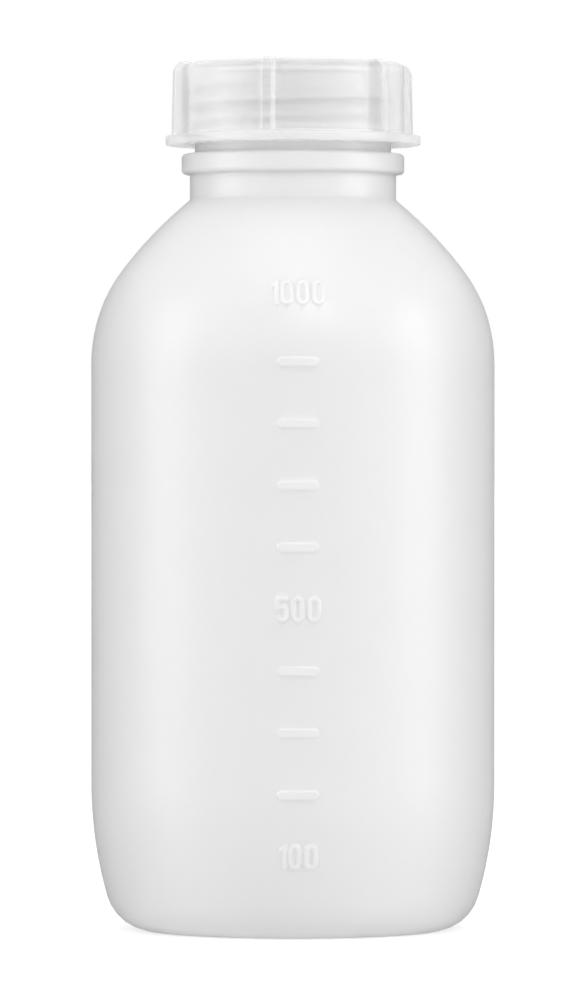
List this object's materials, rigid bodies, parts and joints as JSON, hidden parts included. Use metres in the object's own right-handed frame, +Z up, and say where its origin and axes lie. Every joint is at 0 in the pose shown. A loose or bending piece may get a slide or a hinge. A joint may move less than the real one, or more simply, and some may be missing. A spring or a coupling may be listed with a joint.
{
  "type": "reagent bottle",
  "caption": "Round translucent plastic wide-mouth bottle with a raised volume graduation, a beaded threaded neck and a ribbed screw cap that holds a sealing disc.",
  "frame": {"origin": "centre of the standing ring, on the surface the bottle stands on", "axes": "+Z up along the bottle's axis, -Y towards the graduation, +X to the right of someone who reads it"},
  "size_m": [0.096, 0.0963, 0.2066],
  "materials": {
    "bottle_polyethylene": "natural translucent low-density polyethylene, satin",
    "cap_polypropylene": "natural translucent polypropylene, semi-gloss",
    "disc_polyethylene": "white foamed polyethylene, matte"
  },
  "bodies": {
    "bottle": {"bottle": "bottle_polyethylene"},
    "seal": {"sealing_disc": "disc_polyethylene"},
    "cap": {"screw_cap": "cap_polypropylene"}
  },
  "joints": [
    {"name": "cap_rise", "type": "slide", "parent": "bottle", "child": "seal", "axis": [0, 0, 1], "range_m": [0, 0.024]},
    {"name": "cap_turn", "type": "hinge", "parent": "seal", "child": "cap", "pos_m": [0, 0, 0.1956], "axis": [0, 0, 1], "range_deg": [0, 2161]}
  ],
  "couplings": [
    {"joint": "cap_turn", "follows": "cap_rise", "rad_per_m": 1570.8}
  ]
}
